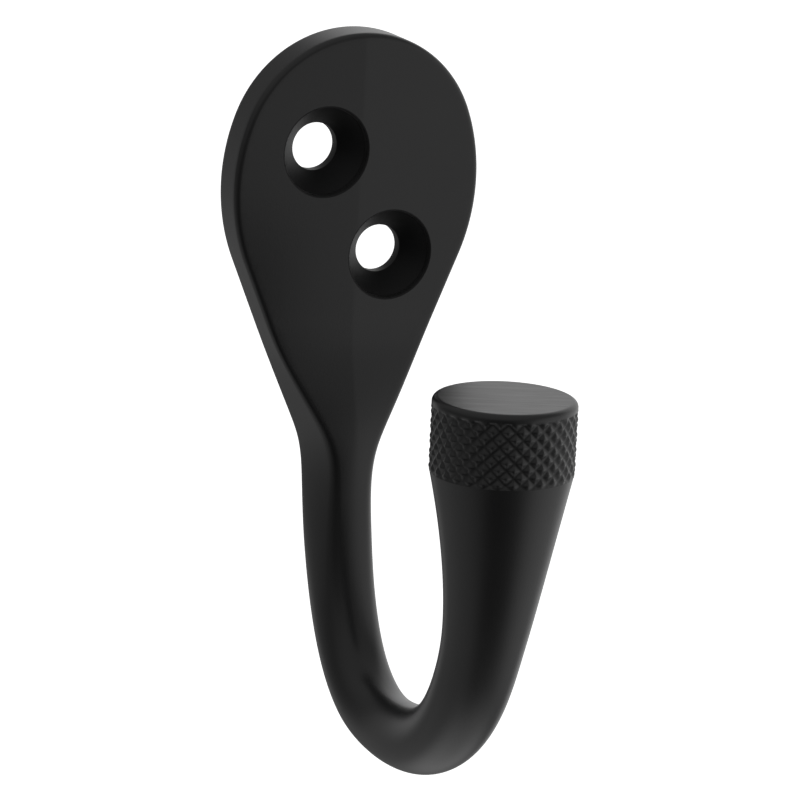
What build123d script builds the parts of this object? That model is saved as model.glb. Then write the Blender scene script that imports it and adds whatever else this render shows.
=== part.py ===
from build123d import *

import os
from math import cos, hypot, pi, radians, sin, sqrt, tan

# Wall plate outline, seen from the front, measured from the midpoint of the two screw holes
crown_top_z = 17.83
crown_radius = 13.3
crown_turn = 68.9
shoulder_radius = 20.65
flank_angle = 22.65
neck_width = 7.04
neck_blend_radius = 16.8

# Wall plate section: a low roof with a soft crest down the middle and rounded edges
plate_thickness = 4.42
roof_tilt = 1.2
crest_radius = 8.0
front_edge_radius = 0.6
back_edge_radius = 0.25
plate_foot_z = -13.0

# Two countersunk screw holes set on a slant, upper left and lower right
screw_hole_diameter = 5.0
screw_head_diameter = 9.2
screw_head_angle = 82.0
screw_head_wall = 0.6
screw_offset_x = 3.9
screw_offset_z = 5.6

# Stem and bend: a bar that leaves the wall with leaning sides, turns under and rises again
stem_depth = 6.7
stem_relief = 0.15
stem_draft = 11.0
stem_front_radius = 1.2
stem_back_radius = 0.5
stem_roundness = 0.22
bend_start_z = -25.5
bend_bottom_z = -52.37
bend_bottom_reach = 18.1
bend_bottom_radius = 3.38
stem_pull = 0.66
rise_pull = 0.855

# Arm: round, flared like a trumpet towards the button
arm_roundness = 0.98
arm_end_reach = 39.6
arm_end_z = -18.72
arm_end_radius = 7.06
arm_bar_radius = 4.6
arm_lean = 1.2
arm_pull = 0.443
flare_length = 20.8
flare_power = 1.66

# Turns of a fully round section's back, sides and front, in degrees, half a circle in all
round_back_turn = 30.0
round_side_turn = 60.0
round_face_turn = 20.0
round_crest_turn = 10.0

# Sections along the neck, the stem and the rising arm
neck_steps = 6
stem_steps = 7
rise_steps = 12

# Button with a diamond knurl under a smooth rounded rim
button_radius = 7.18
button_height = 7.42
button_edge_radius = 0.6
rim_height = 0.8
tooth_count = 30
tooth_rows = 8
tooth_depth = 0.34
tooth_lead_in = 0.4
tooth_run_out = 0.2
knurl_foot_step = 0.03
rim_inset = 0.05
rim_lap = 0.2
core_inset = 0.35
core_lap = 0.6


def blend(start, end, share):
    """Value between two ends for a share of 0 to 1, level at both ends."""
    share = min(max(share, 0.0), 1.0)
    return start + (end - start) * share * share * (3 - 2 * share)


def half_width_at(height):
    """Half the width of the plate's lower part and neck at a height."""
    slope = radians(flank_angle)
    top_x, top_z = flank_top
    centre_x = neck_width / 2 + neck_blend_radius
    drop = (top_x - centre_x + neck_blend_radius * cos(slope)) / tan(slope)
    blend_top_z = top_z - drop
    centre_z = blend_top_z - neck_blend_radius * sin(slope)
    if height >= blend_top_z:
        return top_x - (top_z - height) * tan(slope)
    if height >= centre_z:
        return centre_x - sqrt(neck_blend_radius**2 - (height - centre_z) ** 2)
    return neck_width / 2


def arc_piece(start, end, turn):
    """A line or a round arc between two points that turns left by an angle in radians."""
    if abs(turn) < 1e-4:
        return Line(start, end)
    rise = tan(turn / 4) / 2
    middle_x = (start[0] + end[0]) / 2 + (end[1] - start[1]) * rise
    middle_y = (start[1] + end[1]) / 2 - (end[0] - start[0]) * rise
    return ThreePointArc(start, (middle_x, middle_y), end)


def bar_section(plane, half_width, depth, roundness, draft, front_radius, back_radius, crest):
    """One cross-section of the bar: ten smoothly joined pieces, from a box with soft corners to a circle.

    The sides of the box lean in towards the front by the draft, in radians.
    """
    back_turn = radians(round_back_turn * roundness)
    side_turn = radians(round_side_turn * roundness)
    back_corner = pi / 2 + draft - side_turn / 2 - back_turn
    crest_turn = radians(roof_tilt + (round_crest_turn - roof_tilt) * roundness)
    face_turn = radians(round_face_turn * roundness)
    front_corner = pi / 2 - draft - side_turn / 2 - face_turn - crest_turn
    back_chord = 2 * back_radius * sin(back_corner / 2)
    front_chord = 2 * front_radius * sin(front_corner / 2)
    crest_chord = 2 * crest * sin(crest_turn / 2)
    back_way = back_turn + back_corner / 2
    front_way = crest_turn + face_turn + front_corner / 2
    face_way = crest_turn + face_turn / 2
    swell = tan(side_turn / 4) / 2
    back_room = half_width - back_chord * cos(back_way)
    front_room = half_width - front_chord * cos(front_way) - crest_chord * cos(crest_turn / 2)
    taken = back_chord * sin(back_way) + front_chord * sin(front_way) + crest_chord * sin(crest_turn / 2)
    taken += back_room * tan(back_turn / 2) + front_room * tan(face_way)
    upright = cos(draft) - swell * (tan(back_turn / 2) + tan(face_way)) - sin(draft) * tan(face_way)
    side = (depth - taken) / upright
    back = (back_room - swell * side) / cos(back_turn / 2)
    face = (front_room - (swell + sin(draft)) * side) / cos(face_way)
    steps = [
        (back, back_turn / 2),
        (back_chord, back_way),
        (side, pi / 2 + draft),
        (front_chord, pi - front_way),
        (face, pi - face_way),
    ]
    points = [(0.0, -depth / 2)]
    for length, way in steps:
        points.append((points[-1][0] + length * cos(way), points[-1][1] + length * sin(way)))
    right = points[1:]
    left = [(-x, y) for x, y in right]
    turns = [back_corner, side_turn, front_corner, face_turn]
    with BuildSketch(plane) as section:
        with BuildLine():
            arc_piece(left[0], right[0], 2 * back_turn)
            for index, turn in enumerate(turns):
                arc_piece(right[index], right[index + 1], turn)
            arc_piece(right[4], left[4], 2 * crest_turn)
            for index, turn in reversed(list(enumerate(turns))):
                arc_piece(left[index + 1], left[index], turn)
        make_face()
    return section.sketch


# Crown of the plate: a top arc and two wider shoulder arcs that run into the straight flanks
turn = radians(crown_turn)
flank = radians(flank_angle)
crown_centre_z = crown_top_z - crown_radius
crown_end = (crown_radius * sin(turn), crown_centre_z + crown_radius * cos(turn))
shoulder_x = (crown_radius - shoulder_radius) * sin(turn)
shoulder_z = crown_centre_z + (crown_radius - shoulder_radius) * cos(turn)
shoulder_middle = (shoulder_x + shoulder_radius, shoulder_z)
flank_top = (shoulder_x + shoulder_radius * cos(flank), shoulder_z - shoulder_radius * sin(flank))
plate_width = 2 * shoulder_middle[0]

# Centre line of the bar in the middle plane, from the plate's foot to the button
bar_centre = stem_depth / 2
lean = radians(arm_lean)
rise_length = hypot(arm_end_reach - bend_bottom_reach, arm_end_z - bend_bottom_z)
with BuildLine(Plane.YZ) as centre_line:
    neck_line = Line((-bar_centre, plate_foot_z), (-bar_centre, bend_start_z))
    stem_curve = Bezier(
        (-bar_centre, bend_start_z),
        (-bar_centre, bend_start_z + stem_pull * (bend_bottom_z - bend_start_z)),
        (-bend_bottom_reach + stem_pull * (bend_bottom_reach - bar_centre), bend_bottom_z),
        (-bend_bottom_reach, bend_bottom_z),
    )
    rise_curve = Bezier(
        (-bend_bottom_reach, bend_bottom_z),
        (-bend_bottom_reach - rise_pull * (arm_end_reach - bend_bottom_reach), bend_bottom_z),
        (-arm_end_reach - arm_pull * rise_length * sin(lean), arm_end_z - arm_pull * rise_length * cos(lean)),
        (-arm_end_reach, arm_end_z),
    )

# Cross-sections from the neck to the arm's end
sections = []
for step in range(1, neck_steps + 1):
    share = step / neck_steps
    height = plate_foot_z + share * (bend_start_z - plate_foot_z)
    front = blend(plate_thickness, stem_depth, share)
    relief = blend(0.0, stem_relief, share)
    plane = Plane((0, -(front + relief) / 2, height), x_dir=(1, 0, 0), z_dir=(0, 0, -1))
    sections.append(
        bar_section(
            plane,
            half_width_at(height),
            front - relief,
            stem_roundness * share * share,
            blend(0.0, radians(stem_draft), share),
            blend(front_edge_radius, stem_front_radius, share),
            blend(back_edge_radius, stem_back_radius, share),
            blend(crest_radius, neck_width, share),
        )
    )
for step in range(1, stem_steps + 1):
    share = step / stem_steps
    place = stem_curve.position_at(share)
    plane = Plane(place, x_dir=(1, 0, 0), z_dir=stem_curve.tangent_at(share))
    half_width = blend(neck_width / 2, bend_bottom_radius, share)
    sections.append(
        bar_section(
            plane,
            half_width,
            blend(stem_depth - stem_relief, 2 * bend_bottom_radius, share),
            blend(stem_roundness, arm_roundness, share),
            blend(radians(stem_draft), 0.0, share),
            blend(stem_front_radius, arm_roundness * bend_bottom_radius, share),
            blend(stem_back_radius, arm_roundness * bend_bottom_radius, share),
            blend(neck_width, bend_bottom_radius, share),
        )
    )
for step in range(1, rise_steps + 1):
    share = step / rise_steps
    plane = Plane(rise_curve.position_at(share), x_dir=(1, 0, 0), z_dir=rise_curve.tangent_at(share))
    to_end = (1 - share) * rise_curve.length
    radius = bend_bottom_radius + (arm_bar_radius - bend_bottom_radius) * share
    radius += (arm_end_radius - arm_bar_radius) * max(0.0, 1 - to_end / flare_length) ** flare_power
    corner = arm_roundness * radius
    sections.append(bar_section(plane, radius, 2 * radius, arm_roundness, 0.0, corner, corner, radius))

# Knurl: rings of tips and valleys that swap places from ring to ring, joined by flat triangles into
# four-sided pyramids with straight grooves between them
button_plane = Plane(rise_curve.position_at(1), x_dir=(1, 0, 0), z_dir=rise_curve.tangent_at(1))
valley_radius = button_radius - tooth_depth
knurl_height = button_height - rim_height
row_height = (knurl_height - tooth_lead_in - tooth_run_out) / tooth_rows
rim_radius = button_radius - rim_inset
core_radius = valley_radius - core_inset
rings = []
for row in range(-1, tooth_rows + 2):
    ring = []
    for step in range(2 * tooth_count):
        angle = pi * step / tooth_count
        is_tip = 0 <= row <= tooth_rows and (step + row) % 2 == 0
        radius = button_radius if is_tip else valley_radius
        height = tooth_lead_in + row * row_height
        if row < 0:
            radius = arm_end_radius + knurl_foot_step
            height = 0.0
        if row > tooth_rows:
            height = knurl_height
        ring.append(button_plane.from_local_coords((radius * cos(angle), radius * sin(angle), height)))
    rings.append(ring)
facets = [Face(Wire.make_polygon(rings[0])), Face(Wire.make_polygon(rings[-1]))]
for row in range(len(rings) - 1):
    low = rings[row]
    high = rings[row + 1]
    for step in range(2 * tooth_count):
        after = (step + 1) % (2 * tooth_count)
        if (step + row) % 2 == 1:
            facets.append(Face(Wire.make_polygon([low[step], low[after], high[step]])))
            facets.append(Face(Wire.make_polygon([low[after], high[after], high[step]])))
        else:
            facets.append(Face(Wire.make_polygon([low[step], low[after], high[after]])))
            facets.append(Face(Wire.make_polygon([low[step], high[after], high[step]])))
knurl = Solid(Shell(facets))

with BuildPart() as hook:
    # Teardrop plate: the crown's arcs with straight flanks, cut level at the neck
    foot_half = half_width_at(plate_foot_z)
    with BuildSketch(Plane.XZ):
        with BuildLine():
            Line((foot_half, plate_foot_z), flank_top)
            ThreePointArc(flank_top, shoulder_middle, crown_end)
            ThreePointArc(crown_end, (0, crown_top_z), (-crown_end[0], crown_end[1]))
            ThreePointArc(
                (-crown_end[0], crown_end[1]),
                (-shoulder_middle[0], shoulder_z),
                (-flank_top[0], flank_top[1]),
            )
            Line((-flank_top[0], flank_top[1]), (-foot_half, plate_foot_z))
            Line((-foot_half, plate_foot_z), (foot_half, plate_foot_z))
        make_face()
    extrude(amount=plate_thickness)

    # Roof over the front: two faces that fall away from the crest
    tilt = radians(roof_tilt)
    crest_half = crest_radius * sin(tilt)
    crest_drop = crest_radius * (1 - cos(tilt))
    eave = plate_width
    eave_y = -plate_thickness + crest_drop + (eave - crest_half) * tan(tilt)
    with BuildSketch(Plane.XY.offset(plate_foot_z - 1)):
        with BuildLine():
            Line((-eave, 1), (-eave, eave_y))
            Line((-eave, eave_y), (-crest_half, -plate_thickness + crest_drop))
            ThreePointArc(
                (-crest_half, -plate_thickness + crest_drop),
                (0, -plate_thickness),
                (crest_half, -plate_thickness + crest_drop),
            )
            Line((crest_half, -plate_thickness + crest_drop), (eave, eave_y))
            Line((eave, eave_y), (eave, 1))
            Line((eave, 1), (-eave, 1))
        make_face()
    extrude(amount=crown_top_z - plate_foot_z + 2, mode=Mode.INTERSECT)

    # Rounded front and back edges
    rim_edges = hook.edges().filter_by(lambda edge: edge.center().Z > plate_foot_z + 0.01)
    fillet(rim_edges.filter_by(lambda edge: edge.bounding_box().max.Y > -0.001), radius=back_edge_radius)
    rim_edges = hook.edges().filter_by(lambda edge: edge.center().Z > plate_foot_z + 0.01)
    front_edges = rim_edges.filter_by(
        lambda edge: edge.bounding_box().max.Y < -plate_thickness / 2 and abs(edge.tangent_at(0.5).Z) < 0.9999
    )
    fillet(front_edges, radius=front_edge_radius)

    # Neck, stem, bend and arm in one smooth run from the plate's foot
    plate_foot = hook.faces().sort_by(Axis.Z)[0]
    loft(sections=[plate_foot, *sections])

    # Countersunk screw holes, drilled square to the wall
    hole_half = screw_hole_diameter / 2
    head_half = screw_head_diameter / 2
    cone_depth = (head_half - hole_half) / tan(radians(screw_head_angle / 2))
    for side in (-1, 1):
        hole_x = side * screw_offset_x
        hole_z = -side * screw_offset_z
        face_depth = plate_thickness - abs(hole_x) * tan(tilt)
        cone_top = face_depth - screw_head_wall
        cone_foot = cone_top - cone_depth
        with BuildSketch(Plane.XY.offset(hole_z)):
            with BuildLine():
                Polyline(
                    (hole_x, 1),
                    (hole_x + hole_half, 1),
                    (hole_x + hole_half, -cone_foot),
                    (hole_x + head_half, -cone_top),
                    (hole_x + head_half, -plate_thickness - 1),
                    (hole_x, -plate_thickness - 1),
                    close=True,
                )
            make_face()
        revolve(axis=Axis((hole_x, 0, hole_z), (0, 1, 0)), mode=Mode.SUBTRACT)

    # Button: the knurled band, and a core that ties it to the arm and ends in a smooth rounded rim
    add(knurl)
    with BuildSketch(Plane(button_plane.origin, x_dir=(1, 0, 0), z_dir=-button_plane.y_dir)):
        with BuildLine():
            Polyline(
                (rim_radius - button_edge_radius, button_height),
                (0, button_height),
                (0, -core_lap),
                (core_radius, -core_lap),
                (core_radius, knurl_height - rim_lap),
                (rim_radius, knurl_height - rim_lap),
                (rim_radius, button_height - button_edge_radius),
            )
            RadiusArc(
                (rim_radius, button_height - button_edge_radius),
                (rim_radius - button_edge_radius, button_height),
                -button_edge_radius,
            )
        make_face()
    revolve(axis=Axis(button_plane.origin, button_plane.z_dir))

os.makedirs("parts", exist_ok=True)
hook.part.label = "hook"
export_step(hook.part, "parts/hook.step")
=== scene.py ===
"""Studio scene of a black wall hook: teardrop plate, J-shaped bar and knurled button in one casting."""
import logging
from collections.abc import Callable, Iterable, Sequence
from dataclasses import dataclass, field
from enum import Enum
from math import atan2, cos, hypot, pi, radians, sin, sqrt, tan

import bmesh
import bpy
import numpy as np
from mathutils import Matrix, Vector
from mathutils.geometry import delaunay_2d_cdt


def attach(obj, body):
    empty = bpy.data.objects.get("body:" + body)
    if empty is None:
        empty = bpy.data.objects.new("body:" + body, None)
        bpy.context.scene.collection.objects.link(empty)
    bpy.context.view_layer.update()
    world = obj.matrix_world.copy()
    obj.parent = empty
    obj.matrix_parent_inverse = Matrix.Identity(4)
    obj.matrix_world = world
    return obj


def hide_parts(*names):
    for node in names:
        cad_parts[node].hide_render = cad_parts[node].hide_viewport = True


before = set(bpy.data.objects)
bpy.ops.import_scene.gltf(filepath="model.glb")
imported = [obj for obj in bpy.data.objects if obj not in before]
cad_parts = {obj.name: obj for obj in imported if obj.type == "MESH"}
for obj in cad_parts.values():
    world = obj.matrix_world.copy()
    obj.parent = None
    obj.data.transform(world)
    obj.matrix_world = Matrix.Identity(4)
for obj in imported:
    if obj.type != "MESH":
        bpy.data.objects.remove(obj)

logging.basicConfig(level=logging.INFO, format="%(name)s: %(message)s")
LOG = logging.getLogger("hook_scene")

MM = 0.001
CAMERA_RAY = "Is Camera Ray"
WHITE = (1.0, 1.0, 1.0, 1.0)

# Points closer than this, in metres, become one, and edges sharper than this are not smoothed
WELD_DISTANCE = 2e-6
SHARP_ANGLE = radians(50.0)

# Turns, doubled areas and distances below these count as none, in radians and millimetres
STRAIGHT_TURN = 1e-4
SLIVER_DOUBLE_AREA = 1e-4
RING_TOLERANCE = 1e-4
MESH_TOLERANCE = 1e-7

# Fineness of the search for even steps along a curve
CURVE_SAMPLES = 2001
TANGENT_STEP = 1e-4

# Kind of triangulation that keeps only the triangles inside the given edges
INSIDE_ONLY = 1

Point2 = tuple[float, float]
Ring = np.ndarray
Inputs = dict[int | str, object]


class CoatZone(Enum):
    """Places on the casting that carry their own finish, as material slot numbers."""

    BODY = 0
    CAP = 1
    # The holes carry a darker coat, which is painted shade
    HOLE = 2


def blend(start: float, end: float, share: float) -> float:
    """Value between two ends, level at both ends.

    Args:
        start: Value at share 0.
        end: Value at share 1.
        share: Place between the ends.

    Returns:
        The blended value.
    """
    share = min(max(share, 0.0), 1.0)
    return start + (end - start) * share * share * (3 - 2 * share)


def spread(end: float, steps: int) -> list[float]:
    """Even steps from 0 to an end value, with both."""
    return [end * step / steps for step in range(steps + 1)]


def arc_points(start: Point2, end: Point2, turn: float, count: int) -> list[Point2]:
    """Points on a round arc, without its end point.

    Args:
        start: First point.
        end: Last point.
        turn: Angle in radians by which the arc turns left on its way.
        count: Number of steps.

    Returns:
        The points from the start up to one step before the end.
    """
    first = np.array(start)
    chord = np.array(end) - first
    if abs(turn) < STRAIGHT_TURN:
        return [tuple(first + chord * step / count) for step in range(count)]
    middle = first + chord / 2
    centre = middle + np.array((-chord[1], chord[0])) / (2 * tan(turn / 2))
    arm = first - centre
    points = []
    for angle in spread(turn, count)[:-1]:
        points.append((
            centre[0] + arm[0] * cos(angle) - arm[1] * sin(angle),
            centre[1] + arm[0] * sin(angle) + arm[1] * cos(angle),
        ))
    return points


def bezier_point(points: Sequence[Point2], share: float) -> np.ndarray:
    """Point of a cubic Bezier curve.

    Args:
        points: The four control points.
        share: Parameter from 0 to 1.

    Returns:
        The point.
    """
    rest = 1 - share
    weights = (rest**3, 3 * rest * rest * share, 3 * rest * share * share, share**3)
    return sum(weight * np.array(point) for weight, point in zip(weights, points))


def way_along(line: np.ndarray) -> np.ndarray:
    """Distance of each point from the start, along a row of points."""
    return np.concatenate(([0.0], np.cumsum(np.linalg.norm(np.diff(line, axis=0), axis=1))))


def bezier_run(points: Sequence[Point2], steps: int) -> tuple[list[np.ndarray], list[np.ndarray], float]:
    """Evenly spaced places along a cubic Bezier curve.

    Args:
        points: The four control points.
        steps: Number of equal steps.

    Returns:
        The places, the unit tangents there, both without the start, and the curve's length.
    """
    fine = np.linspace(0, 1, CURVE_SAMPLES)
    ways = way_along(np.array([bezier_point(points, share) for share in fine]))
    places, tangents = [], []
    for step in range(1, steps + 1):
        share = float(np.interp(ways[-1] * step / steps, ways, fine))
        places.append(bezier_point(points, share))
        step_back = bezier_point(points, max(share - TANGENT_STEP, 0.0))
        step_on = bezier_point(points, min(share + TANGENT_STEP, 1.0))
        tangents.append((step_on - step_back) / np.linalg.norm(step_on - step_back))
    return places, tangents, float(ways[-1])


def spline_rings(rings: Sequence[Ring], count: int) -> list[Ring]:
    """Smooth rings through a row of control rings, by natural cubic splines along the row.

    Args:
        rings: Control rings with equal numbers of points.
        count: Number of rings wanted.

    Returns:
        The rings, with the first and last control ring at the ends.
    """
    stack = np.array(rings)
    ways = way_along(stack.mean(axis=1))
    gaps = np.diff(ways)
    size = len(rings)
    matrix = np.zeros((size, size))
    right = np.zeros(stack.shape)
    matrix[0, 0] = matrix[-1, -1] = 1.0
    for row in range(1, size - 1):
        matrix[row, row - 1] = gaps[row - 1]
        matrix[row, row] = 2 * (gaps[row - 1] + gaps[row])
        matrix[row, row + 1] = gaps[row]
        rise_on = (stack[row + 1] - stack[row]) / gaps[row]
        rise_back = (stack[row] - stack[row - 1]) / gaps[row - 1]
        right[row] = 6 * (rise_on - rise_back)
    bends = np.linalg.solve(matrix, right.reshape(size, -1)).reshape(right.shape)
    result = []
    for way in np.linspace(0, ways[-1], count):
        row = min(int(np.searchsorted(ways, way, side="right")) - 1, size - 2)
        gap = gaps[row]
        on = (way - ways[row]) / gap
        back = 1 - on
        bend = (back**3 - back) * bends[row] + (on**3 - on) * bends[row + 1]
        result.append(back * stack[row] + on * stack[row + 1] + bend * gap * gap / 6)
    return result


def loop_edges(first: int, count: int) -> list[tuple[int, int]]:
    """Edges round a closed ring of points with numbers from the first on."""
    return [(first + index, first + (index + 1) % count) for index in range(count)]


def triangulate(
    points: Sequence[Point2], edges: list[tuple[int, int]]
) -> tuple[list[Vector], list[list[int]]]:
    """Triangles between points in a plane, inside given edges.

    Args:
        points: The points.
        edges: Pairs of point numbers that stay edges.

    Returns:
        The points and the triangles' corners.
    """
    flat = [Vector(point) for point in points]
    result = delaunay_2d_cdt(flat, edges, [], INSIDE_ONLY, MESH_TOLERANCE, False)
    return result[0], result[2]


@dataclass(frozen=True)
class NodeDesk:
    """Adds nodes to one node tree, with their inputs set or wired."""

    tree: bpy.types.NodeTree

    def fill(self, node: bpy.types.Node, inputs: Inputs) -> bpy.types.Node:
        """Sets or wires inputs of a node.

        Args:
            node: A node of the tree.
            inputs: Values or sockets, by the inputs' names or numbers.

        Returns:
            The node.
        """
        for key, value in inputs.items():
            if isinstance(value, bpy.types.NodeSocket):
                self.tree.links.new(value, node.inputs[key])
            else:
                node.inputs[key].default_value = value
        return node

    def node(self, kind: str, inputs: Inputs | None = None, **settings: object) -> bpy.types.Node:
        """Adds a node.

        Args:
            kind: Type of the node.
            inputs: Values or sockets, by the inputs' names or numbers.
            settings: Other properties of the node.

        Returns:
            The node.
        """
        node = self.tree.nodes.new(kind)
        for name, value in settings.items():
            setattr(node, name, value)
        return self.fill(node, inputs or {})

    def math(self, operation: str, *values: object) -> bpy.types.NodeSocket:
        """Adds a calculation with numbers or sockets, and gives its result."""
        return self.node("ShaderNodeMath", dict(enumerate(values)), operation=operation).outputs[0]

    def between(self, start: object, end: object, share: object) -> bpy.types.NodeSocket:
        """Adds the value between two ends at a share of 0 to 1."""
        return self.math("ADD", start, self.math("MULTIPLY", self.math("SUBTRACT", end, start), share))

    def noise(self, scale: object, detail: float, place: bpy.types.NodeSocket) -> bpy.types.NodeSocket:
        """Adds a noise pattern over places, and gives its value."""
        inputs = {"Scale": scale, "Detail": detail, "Vector": place}
        return self.node("ShaderNodeTexNoise", inputs).outputs["Fac"]


@dataclass
class Shell:
    """Vertices and faces of the casting, gathered in millimetres and welded into one closed mesh."""

    points: list[tuple[float, float, float]] = field(default_factory=list)
    faces: list[tuple[int, ...]] = field(default_factory=list)
    zones: list[CoatZone] = field(default_factory=list)

    def add(self, points: Iterable[Sequence[float]]) -> list[int]:
        """Adds points.

        Args:
            points: Places in millimetres.

        Returns:
            Their numbers.
        """
        first = len(self.points)
        self.points.extend(tuple(float(value) for value in point) for point in points)
        return list(range(first, len(self.points)))

    def face(self, corners: Sequence[int], zone: CoatZone = CoatZone.BODY) -> None:
        """Adds one face by its corners' numbers."""
        self.faces.append(tuple(corners))
        self.zones.append(zone)

    def skin(self, rows: Sequence[Sequence[int]], closed: bool, zone: CoatZone = CoatZone.BODY) -> None:
        """Joins rows of points with quads.

        Args:
            rows: Rows of point numbers, all of one length.
            closed: Whether each row is a ring.
            zone: Finish of the faces.
        """
        for low, high in zip(rows, rows[1:]):
            last = len(low) if closed else len(low) - 1
            for step in range(last):
                after = (step + 1) % len(low)
                self.face((low[step], low[after], high[after], high[step]), zone)

    def fan(self, ring: Sequence[int], centre: Sequence[float], zone: CoatZone) -> None:
        """Closes a ring with triangles to a centre point.

        Args:
            ring: Point numbers of the ring.
            centre: The centre point.
            zone: Finish of the faces.
        """
        middle = self.add([centre])[0]
        for one, two in loop_edges(0, len(ring)):
            self.face((ring[one], ring[two], middle), zone)

    def to_mesh(self, name: str) -> bpy.types.Mesh:
        """Makes the welded mesh with faces that point outwards.

        Args:
            name: Name of the mesh.

        Returns:
            The mesh in metres.
        """
        mesh = bpy.data.meshes.new(name)
        mesh.from_pydata([tuple(value * MM for value in point) for point in self.points], [], self.faces)
        mesh.polygons.foreach_set("material_index", [zone.value for zone in self.zones])
        work = bmesh.new()
        work.from_mesh(mesh)
        bmesh.ops.remove_doubles(work, verts=work.verts, dist=WELD_DISTANCE)
        bmesh.ops.dissolve_degenerate(work, edges=work.edges, dist=WELD_DISTANCE / 2)
        bmesh.ops.recalc_face_normals(work, faces=work.faces)
        loose = sum(1 for edge in work.edges if not edge.is_manifold)
        LOG.info("%s: %d faces, %d open edges", name, len(work.faces), loose)
        for face in work.faces:
            face.smooth = True
        work.to_mesh(mesh)
        work.free()
        mesh.set_sharp_from_angle(angle=SHARP_ANGLE)
        return mesh


@dataclass
class WallPlate:
    """Teardrop wall plate with a low roof front and two countersunk screw holes.

    Sizes are in millimetres and angles in degrees.
    """

    crown_top_z: float = 17.83
    crown_radius: float = 13.3
    crown_turn: float = 68.9
    shoulder_radius: float = 20.65
    flank_angle: float = 22.65
    neck_width: float = 7.04
    neck_blend_radius: float = 16.8
    thickness: float = 4.42
    roof_tilt: float = 1.2
    crest_radius: float = 8.0
    front_edge_radius: float = 0.6
    back_edge_radius: float = 0.25
    foot_z: float = -13.0

    # Screw holes and the small rounds at their edges
    hole_diameter: float = 5.0
    head_diameter: float = 9.2
    head_angle: float = 82.0
    head_wall: float = 0.6
    hole_offset_x: float = 3.9
    hole_offset_z: float = 5.6
    mouth_radius: float = 0.22
    seat_radius: float = 0.3
    bore_edge_radius: float = 0.2

    # Fineness of the mesh: steps along its lines, and the grid on the two broad sides
    flank_steps: int = 26
    shoulder_steps: int = 56
    crown_steps: int = 40
    back_steps: int = 16
    back_edge_steps: int = 6
    side_steps: int = 10
    front_edge_steps: int = 10
    face_steps: int = 10
    crest_steps: int = 4
    hole_steps: int = 112
    hole_round_steps: int = 6
    back_round_steps: int = 4
    front_grid: float = 0.5
    back_grid: float = 1.5

    # Room round the grid: an even ring at each hole, and gaps as shares of a grid step
    hole_ring: float = 0.06
    border_gap: float = 0.5
    hole_gap: float = 0.4

    # Share of a hole's radius inside which triangles are left out
    opening_share: float = 0.999

    @property
    def flank(self) -> float:
        """Slope of the flanks from the upright, in radians."""
        return radians(self.flank_angle)

    @property
    def crown_centre(self) -> np.ndarray:
        """Centre of the crown's top arc."""
        return np.array((0.0, self.crown_top_z - self.crown_radius))

    @property
    def shoulder_centre(self) -> np.ndarray:
        """Centre of the right shoulder's arc."""
        way = np.array((sin(radians(self.crown_turn)), cos(radians(self.crown_turn))))
        return self.crown_centre + (self.crown_radius - self.shoulder_radius) * way

    @property
    def flank_top(self) -> np.ndarray:
        """Place where the right shoulder runs into the straight flank."""
        return self.shoulder_centre + self.shoulder_radius * np.array((cos(self.flank), -sin(self.flank)))

    @property
    def width(self) -> float:
        """Width of the plate across its shoulders."""
        return 2 * (self.shoulder_centre[0] + self.shoulder_radius)

    @property
    def crest_half(self) -> float:
        """Half the width of the rounded crest."""
        return self.crest_radius * sin(radians(self.roof_tilt))

    def half_width_at(self, height: float) -> float:
        """Half the width of the lower plate and neck.

        Args:
            height: Height above the origin.

        Returns:
            The half width at that height.
        """
        slope = self.flank
        top_x, top_z = self.flank_top
        centre_x = self.neck_width / 2 + self.neck_blend_radius
        drop = (top_x - centre_x + self.neck_blend_radius * cos(slope)) / tan(slope)
        blend_top_z = top_z - drop
        centre_z = blend_top_z - self.neck_blend_radius * sin(slope)
        if height >= blend_top_z:
            return top_x - (top_z - height) * tan(slope)
        if height >= centre_z:
            return centre_x - sqrt(self.neck_blend_radius**2 - (height - centre_z) ** 2)
        return self.neck_width / 2

    def front_y(self, x: float) -> float:
        """Depth of the roof-shaped front.

        Args:
            x: Distance from the middle, to either side.

        Returns:
            The front's y there.
        """
        tilt = radians(self.roof_tilt)
        side = abs(x)
        if side < self.crest_half:
            return -self.thickness + self.crest_radius - sqrt(self.crest_radius**2 - side * side)
        crest_drop = self.crest_radius * (1 - cos(tilt))
        return -self.thickness + crest_drop + (side - self.crest_half) * tan(tilt)

    def outline(self) -> tuple[np.ndarray, np.ndarray]:
        """Outline from the right foot over the crown to the left foot.

        Returns:
            The points and their outward normals, as rows of x and z.
        """
        foot = np.array((self.half_width_at(self.foot_z), self.foot_z))
        slant = (cos(self.flank), -sin(self.flank))
        turn = pi / 2 - radians(self.crown_turn)
        half = []
        for step in range(self.flank_steps):
            half.append((foot + (self.flank_top - foot) * step / self.flank_steps, slant))
        arcs = (
            (self.shoulder_centre, self.shoulder_radius, -self.flank, turn, self.shoulder_steps),
            (self.crown_centre, self.crown_radius, turn, pi / 2, self.crown_steps),
        )
        for centre, radius, start, end, steps in arcs:
            for step in range(steps):
                angle = start + (end - start) * step / steps
                normal = (cos(angle), sin(angle))
                half.append((centre + radius * np.array(normal), normal))
        mirrored = [((-point[0], point[1]), (-normal[0], normal[1])) for point, normal in reversed(half)]
        points, normals = zip(*half, ((0.0, self.crown_top_z), (0.0, 1.0)), *mirrored)
        return np.array(points), np.array(normals)

    def foot_end(self, distance: float) -> float:
        """Half the foot's width where the outline is moved inwards by a distance."""
        return self.half_width_at(self.foot_z) - distance / cos(self.flank)

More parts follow.
